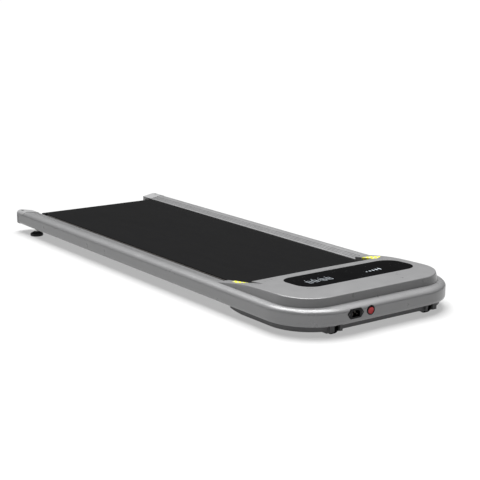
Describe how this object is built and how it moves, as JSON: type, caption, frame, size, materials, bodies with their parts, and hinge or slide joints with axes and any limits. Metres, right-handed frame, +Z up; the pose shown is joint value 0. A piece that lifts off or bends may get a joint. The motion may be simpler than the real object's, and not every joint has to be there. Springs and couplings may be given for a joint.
{
  "type": "walking pad treadmill",
  "caption": "Slim under-desk treadmill: flat running belt between silver side rails, low rounded front housing with a black display strip, transport wheels and levelling feet.",
  "frame": {"origin": "on the floor, under the middle of the machine's length and width", "axes": "+Z up; -Y towards the motor housing at the front; +X to the right when seen from the front end looking along +Y"},
  "size_m": [0.5456, 1.4635, 0.0901],
  "materials": {
    "rail_silver": "satin anodised, brushed lengthwise",
    "casing_grey": "satin metallic grey",
    "hood_grey": "satin metallic grey moulding",
    "cap_grey": "satin grey moulding",
    "window_black": "gloss black",
    "tray_dark": "fine moulded texture",
    "belt_black": "matt, fine diamond texture",
    "deck_wood": "fibreboard with dark film",
    "frame_black": "powder coat",
    "steel_plain": "turned steel",
    "steel_zinc": "zinc plated",
    "bearing_steel": "ground",
    "tyre_black": "solid rubber tyre",
    "hub_dark": "moulded",
    "rubber_black": "matt rubber",
    "motor_black": "gloss black enamel",
    "pulley_alloy": "machined",
    "fan_grey": "moulded",
    "board_green": "circuit board",
    "sink_alloy": "extruded",
    "capacitor_blue": "sleeved",
    "digit_dark": "smoked",
    "wire_red": "insulated wire",
    "inlet_black": "satin black",
    "pin_brass": "plated",
    "switch_red": "gloss red",
    "marker_yellow": "printed film"
  },
  "bodies": {
    "frame": {"belly_tray": "tray_dark", "capacitors": "capacitor_blue", "control_board": "board_green", "cross_tubes": "frame_black", "deck_board": "deck_wood", "deck_cushions": "rubber_black", "deck_screws": "steel_zinc", "digit_module": "digit_dark", "display_board": "board_green", "display_window": "window_black", "drive_belt": "rubber_black", "end_cap_left": "cap_grey", "end_cap_right": "cap_grey", "end_cap_screws": "steel_zinc", "foot_inserts": "steel_zinc", "foot_lock_nuts": "steel_zinc", "front_axle": "steel_plain", "front_axle_nuts": "steel_zinc", "front_casing": "casing_grey", "heat_sink": "sink_alloy", "hood": "hood_grey", "inlet_pins": "pin_brass", "inlet_screws": "frame_black", "motor_bracket": "frame_black", "motor_housing": "motor_black", "motor_plate": "frame_black", "power_inlet": "inlet_black", "running_belt": "belt_black", "side_marker_left": "marker_yellow", "side_marker_right": "marker_yellow", "side_plate_left": "frame_black", "side_plate_right": "frame_black", "side_rail_left": "rail_silver", "side_rail_right": "rail_silver", "switch_bezel": "inlet_black", "tension_brackets": "frame_black", "tray_bumpers": "rubber_black", "tray_screws": "steel_zinc", "wheel_pins": "steel_zinc", "wiring_harness": "wire_red"},
    "drive_roller": {"front_roller": "steel_plain", "front_bearings": "bearing_steel", "drive_pulley": "pulley_alloy"},
    "motor_spindle": {"motor_rotor": "steel_plain", "motor_pulley": "pulley_alloy", "motor_fan": "fan_grey"},
    "rear_axle_carriage": {"rear_axle": "steel_plain"},
    "idler_roller": {"rear_roller": "steel_plain", "rear_bearings": "bearing_steel"},
    "left_tension_bolt": {"tension_bolt_left": "steel_zinc"},
    "right_tension_bolt": {"tension_bolt_right": "steel_zinc"},
    "left_wheel": {"wheel_tyre_left": "tyre_black", "wheel_hub_left": "hub_dark"},
    "right_wheel": {"wheel_tyre_right": "tyre_black", "wheel_hub_right": "hub_dark"},
    "left_foot_pad": {"foot_pad_left": "rubber_black"},
    "left_foot_stem": {"foot_stem_left": "steel_zinc"},
    "right_foot_pad": {"foot_pad_right": "rubber_black"},
    "right_foot_stem": {"foot_stem_right": "steel_zinc"},
    "power_rocker": {"switch_rocker": "switch_red"}
  },
  "joints": [
    {"name": "drive_roller_spin", "type": "hinge", "parent": "frame", "child": "drive_roller", "pos_m": [0, -0.4722, 0.0419], "axis": [1, 0, 0], "continuous": true},
    {"name": "motor_spin", "type": "hinge", "parent": "frame", "child": "motor_spindle", "pos_m": [0, -0.5782, 0.054], "axis": [1, 0, 0], "continuous": true},
    {"name": "belt_tension_slide", "type": "slide", "parent": "frame", "child": "rear_axle_carriage", "axis": [0, -1, 0], "range_m": [0, 0.008]},
    {"name": "idler_roller_spin", "type": "hinge", "parent": "rear_axle_carriage", "child": "idler_roller", "pos_m": [0, 0.6678, 0.0419], "axis": [1, 0, 0], "continuous": true},
    {"name": "left_tension_bolt_turn", "type": "hinge", "parent": "frame", "child": "left_tension_bolt", "pos_m": [-0.231, 0.6678, 0.0419], "axis": [0, 1, 0], "range_deg": [0, 2881]},
    {"name": "right_tension_bolt_turn", "type": "hinge", "parent": "frame", "child": "right_tension_bolt", "pos_m": [0.231, 0.6678, 0.0419], "axis": [0, 1, 0], "range_deg": [0, 2881]},
    {"name": "left_wheel_spin", "type": "hinge", "parent": "frame", "child": "left_wheel", "pos_m": [-0.152, -0.6937, 0.017], "axis": [1, 0, 0], "continuous": true},
    {"name": "right_wheel_spin", "type": "hinge", "parent": "frame", "child": "right_wheel", "pos_m": [0.152, -0.6937, 0.017], "axis": [1, 0, 0], "continuous": true},
    {"name": "left_foot_height", "type": "slide", "parent": "frame", "child": "left_foot_pad", "axis": [0, 0, -1], "range_m": [-0.004, 0.008]},
    {"name": "left_foot_turn", "type": "hinge", "parent": "left_foot_pad", "child": "left_foot_stem", "pos_m": [-0.248, 0.6288, 0.02], "axis": [0, 0, -1], "range_deg": [-1153, 2305]},
    {"name": "right_foot_height", "type": "slide", "parent": "frame", "child": "right_foot_pad", "axis": [0, 0, -1], "range_m": [-0.004, 0.008]},
    {"name": "right_foot_turn", "type": "hinge", "parent": "right_foot_pad", "child": "right_foot_stem", "pos_m": [0.248, 0.6288, 0.02], "axis": [0, 0, -1], "range_deg": [-1153, 2305]},
    {"name": "power_switch_rock", "type": "hinge", "parent": "frame", "child": "power_rocker", "pos_m": [-0.0613, -0.7212, 0.0508], "axis": [-1, 0, 0], "range_deg": [0, 16]}
  ],
  "couplings": [
    {"joint": "motor_spin", "follows": "drive_roller_spin", "ratio": 2},
    {"joint": "idler_roller_spin", "follows": "drive_roller_spin", "ratio": 1},
    {"joint": "left_tension_bolt_turn", "follows": "belt_tension_slide", "rad_per_m": 6283.2},
    {"joint": "right_tension_bolt_turn", "follows": "belt_tension_slide", "rad_per_m": 6283.2},
    {"joint": "left_foot_turn", "follows": "left_foot_height", "rad_per_m": 5026.5},
    {"joint": "right_foot_turn", "follows": "right_foot_height", "rad_per_m": 5026.5}
  ]
}
